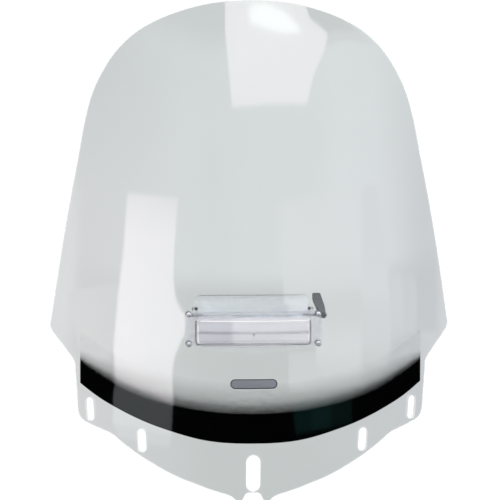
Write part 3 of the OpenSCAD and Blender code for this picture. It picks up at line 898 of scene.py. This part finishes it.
# what mirrors see: pale walls round the front, darker to the far sides, nothing below the horizon
side = maths(nodes, links, "MULTIPLY_ADD", sep.outputs[0], 0.5, 0.5)
walls = ramp(side, [(0.0, 0.3), (0.075, 0.85), (0.25, 1.6), (0.5, 2.0), (0.75, 2.1), (0.85, 2.4), (0.94, 2.2),
                    (0.965, 1.8), (0.985, 1.3), (1.0, 0.55)])
high = maths(nodes, links, "MULTIPLY_ADD", sep.outputs[2], 0.5, 0.5)
above = ramp(high, [(0.0, 0.0), (0.483, 0.0), (0.508, 1.0), (0.744, 1.0), (0.776, 0.45), (0.80, 0.45), (0.86, 0.7), (0.93, 2.0), (1.0, 2.8)])
both = node(nodes, "ShaderNodeMixRGB", blend_type="MULTIPLY")
both.inputs["Fac"].default_value = 1.0
links.new(walls, both.inputs["Color1"])
links.new(above, both.inputs["Color2"])
tone = node(nodes, "ShaderNodeMixRGB", blend_type="MULTIPLY")
tone.inputs["Fac"].default_value = 1.0
tone.inputs["Color2"].default_value = (0.95, 1.0, 1.06, 1)
links.new(both.outputs[0], tone.inputs["Color1"])
# rearwards and straight to the sides the room is plain white
past = node(nodes, "ShaderNodeMapRange", interpolation_type="SMOOTHSTEP")
links.new(sep.outputs[1], past.inputs["Value"])
past.inputs["From Min"].default_value = 0.02
past.inputs["From Max"].default_value = 0.16
wide = node(nodes, "ShaderNodeMapRange", interpolation_type="SMOOTHSTEP")
links.new(maths(nodes, links, "ABSOLUTE", sep.outputs[0]), wide.inputs["Value"])
wide.inputs["From Min"].default_value = 0.975
wide.inputs["From Max"].default_value = 0.998
left_or_low = maths(nodes, links, "MAXIMUM", maths(nodes, links, "LESS_THAN", sep.outputs[0], 0.0),
                    maths(nodes, links, "LESS_THAN", sep.outputs[2], -0.13))
wide_part = maths(nodes, links, "MULTIPLY", wide.outputs["Result"], left_or_low)
low_sky = maths(nodes, links, "LESS_THAN", sep.outputs[2], 0.80)
plain = maths(nodes, links, "MULTIPLY", maths(nodes, links, "MAXIMUM", past.outputs["Result"], wide_part),
              low_sky)
room = node(nodes, "ShaderNodeMixRGB")
room.inputs["Color2"].default_value = (1.0, 1.02, 1.04, 1)
links.new(plain, room.inputs["Fac"])
links.new(tone.outputs[0], room.inputs["Color1"])
level_mix = node(nodes, "ShaderNodeMixRGB")
level_mix.inputs["Color2"].default_value = (0.55, 0.55, 0.55, 1)
links.new(lp.outputs["Is Diffuse Ray"], level_mix.inputs["Fac"])
links.new(room.outputs[0], level_mix.inputs["Color1"])
level_d = level_mix.outputs[0]
a = node(nodes, "ShaderNodeMixRGB")
links.new(lp.outputs["Is Transmission Ray"], a.inputs["Fac"])
links.new(level_d, a.inputs["Color1"])
links.new(thru.outputs["Result"], a.inputs["Color2"])
b = node(nodes, "ShaderNodeMixRGB")
b.inputs["Color2"].default_value = (1.1, 1.1, 1.1, 1)
links.new(lp.outputs["Is Camera Ray"], b.inputs["Fac"])
links.new(a.outputs[0], b.inputs["Color1"])
bg = node(nodes, "ShaderNodeBackground")
links.new(b.outputs[0], bg.inputs["Color"])
links.new(bg.outputs[0], wo.inputs["Surface"])

# camera: 12 m away, a little to the left and 6 degrees above
AZ, EL, D = math.radians(-3), math.radians(6), 12.0
back = Vector((math.sin(AZ) * math.cos(EL), -math.cos(AZ) * math.cos(EL), math.sin(EL)))
fwd = -back
right = fwd.cross(Vector((0, 0, 1))).normalized()
up = right.cross(fwd)
target = Vector((0, 0.03, 0.34)) - right * 0.00354 + up * 0.000887
cam_data = bpy.data.cameras.new("camera")
cam_data.sensor_width = 36
cam_data.lens = 36 * D / 0.7645
cam_data.clip_start = 0.1
cam_data.clip_end = 200
cam = bpy.data.objects.new("camera", cam_data)
scene.collection.objects.link(cam)
cam.location = target + back * D
cam.rotation_euler = fwd.to_track_quat("-Z", "Y").to_euler()
scene.camera = cam

# softboxes: placed where the front face mirrors them, as cards that only reflections and lighting see
PX = 0.7645 / 500


def view_ray(px, py):
    q = target + right * ((px - 250) * PX) + up * ((250 - py) * PX)
    return (q - cam.location).normalized()


def mirror(px, py):
    """The ray that the camera sees in the front face at a place in the picture."""
    d = view_ray(px, py)
    a, b = D - 0.8, D + 0.8
    for _ in range(50):
        t = (a + b) / 2
        if level(cam.location + d * t) > 0:
            a = t
        else:
            b = t
    p = cam.location + d * a
    n = normal_at(p)
    return p, d - n * (2 * d.dot(n))


def card(name, corners, dist, strength, color=(1, 1, 1), per_side=8, levels=None):
    """A glowing card whose mirror image in the front face has these corners in the picture. Levels dim it by
    height: the picture column to measure on, and pairs of picture row and brightness."""
    pts = []
    c = len(corners)
    for i in range(c):
        x0, y0 = corners[i]
        x1, y1 = corners[(i + 1) % c]
        for k in range(per_side):
            p, r = mirror(x0 + (x1 - x0) * k / per_side, y0 + (y1 - y0) * k / per_side)
            pts.append(p + r * dist)
    m, nodes, links = new_mat(name)
    o = node(nodes, "ShaderNodeOutputMaterial")
    e = node(nodes, "ShaderNodeEmission", Color=(*color, 1), Strength=strength)
    links.new(e.outputs[0], o.inputs["Surface"])
    if levels:
        at = []
        for y, factor in levels[1]:
            p, r = mirror(levels[0], y)
            at.append(((p + r * dist).z, factor))
        at.sort()
        z0, span = at[0][0], at[-1][0] - at[0][0]
        tc = node(nodes, "ShaderNodeTexCoord")
        sep = node(nodes, "ShaderNodeSeparateXYZ")
        links.new(tc.outputs["Object"], sep.inputs[0])
        dim = node(nodes, "ShaderNodeValToRGB")
        links.new(maths(nodes, links, "MULTIPLY_ADD", sep.outputs[2], 1 / span, -z0 / span), dim.inputs["Fac"])
        el = dim.color_ramp.elements
        el[0].position, el[1].position = 0.0, 1.0
        el[0].color = (*[c * at[0][1] for c in color], 1)
        el[1].color = (*[c * at[-1][1] for c in color], 1)
        for z, factor in at[1:-1]:
            el.new((z - z0) / span).color = (*[c * factor for c in color], 1)
        links.new(dim.outputs["Color"], e.inputs["Color"])
    mid = sum(pts, Vector()) / len(pts)
    ob = stage_mesh(name, pts + [mid], [[i, (i + 1) % len(pts), len(pts)] for i in range(len(pts))], m)
    ob.visible_camera = False
    ob.visible_shadow = False
    ob.visible_diffuse = False
    ob.visible_transmission = False
    return ob


card("softbox_left", [(127, 193), (178, 198), (174, 250), (173, 280), (176, 300), (183, 312), (187, 320), (186, 331),
                      (180, 343), (175, 356), (172, 372), (173, 404), (115, 381), (113, 350), (117, 300), (123, 250)],
     3.0, 3.65, color=(1.10, 1.0, 1.05),
     levels=(150, [(192, 0.68), (215, 0.84), (238, 1.0), (350, 1.0), (365, 0.88), (380, 0.82), (394, 0.95), (406, 1.0)]))
card("softbox_left_low", [(115, 381), (173, 404), (171, 436), (112, 424), (113, 400)], 3.0, 1.36,
     color=(0.93, 1.0, 1.01))
card("softbox_left_faint", [(66, 292), (118, 282), (113, 352), (102, 364), (78, 346)], 3.0, 0.62)
card("softbox_left_foot", [(112, 424), (171, 436), (169, 448), (120, 438)], 3.0, 0.7)
card("softbox_right", [(280, 204), (362, 187), (362, 280), (362, 384), (330, 390), (316, 390), (316, 345), (300, 330),
                       (284, 300)], 3.0, 2.3, color=(1.02, 1.0, 1.08),
     levels=(340, [(250, 1.0), (278, 0.85), (300, 0.5), (318, 0.55), (336, 0.75), (350, 0.78), (362, 0.6), (374, 0.4),
                   (388, 0.3)]))
card("softbox_right_side", [(362, 187), (376, 184), (386, 240), (391, 300), (391, 350), (386, 376), (362, 384),
                            (362, 280)], 3.0, 1.8, color=(1.02, 1.0, 1.08),
     levels=(376, [(270, 1.0), (292, 0.95), (310, 0.72), (336, 0.7), (346, 0.6), (356, 0.4), (368, 0.2)]))
card("softbox_right_far", [(389, 270), (402, 273), (404, 300), (404, 336), (391, 346), (391, 300)], 3.0, 1.0,
     levels=(396, [(268, 1.0), (312, 1.0), (328, 0.85), (338, 0.5), (348, 0.3)]))
card("softbox_right_rim", [(402, 273), (416, 277), (418, 300), (416, 330), (404, 336), (404, 300)], 3.0, 0.6)
card("softbox_right_faint", [(289, 352), (316, 352), (316, 390), (289, 392)], 3.0, 0.9, color=(1.0, 1.0, 1.03))
card("softbox_right_low", [(292, 402), (312, 396), (312, 431), (296, 434)], 3.0, 0.17, color=(0.2, 1.0, 1.0))
card("softbox_right_mid", [(312, 396), (332, 394), (330, 428), (312, 431)], 3.0, 0.24, color=(0.25, 1.0, 0.9))
card("softbox_right_end", [(332, 394), (352, 392), (352, 424), (330, 428)], 3.0, 0.13, color=(0.3, 1.0, 0.85))
card("softbox_top", [(225, 30), (225, -3), (302, -3), (306, 6), (310, 18), (320, 26), (327, 32), (328, 38), (325, 49), (314, 75),
                     (307, 104), (268, 104), (232, 107)], 3.0, 3.95,
     color=(1.08, 1.0, 1.04))
card("dark_gap_top", [(302, -3), (318, 2), (334, 11), (350, 22), (362, 33), (348, 30), (336, 30), (324, 34), (310, 18)],
     3.1, 0.55)
card("dark_gap_soft", [(324, 32), (336, 28), (348, 28), (362, 31), (376, 46), (364, 44), (348, 40), (334, 44), (324, 48)],
     3.15, 1.5)
card("softbox_top_warm", [(247, 4), (258, 1), (272, 2), (288, 10), (300, 24), (304, 34), (284, 34), (264, 30), (247, 24)],
     2.75, 4.9, color=(1.05, 1.0, 1.03))
card("softbox_top_hot", [(251, 6), (260, 3), (271, 5), (285, 13), (296, 25), (300, 32), (283, 32), (268, 28), (251, 21)],
     2.6, 6.6)

# soft light on everything that isn't clear
for name, loc, size, power in (("key", (-1.6, -2.2, 2.2), 1.6, 45.0), ("fill", (2.4, -1.6, 1.4), 2.0, 25.0),
                               ("rear", (0.4, 2.4, 2.4), 2.0, 30.0)):
    ld = bpy.data.lights.new(name, "AREA")
    ld.shape = "SQUARE"
    ld.size = size
    ld.energy = power
    lo_ = bpy.data.objects.new(name, ld)
    scene.collection.objects.link(lo_)
    lo_.location = loc
    lo_.rotation_euler = (Vector((0, 0.05, 0.3)) - Vector(loc)).to_track_quat("-Z", "Y").to_euler()
    lo_.visible_glossy = False
    lo_.visible_camera = False
    lo_.visible_transmission = False
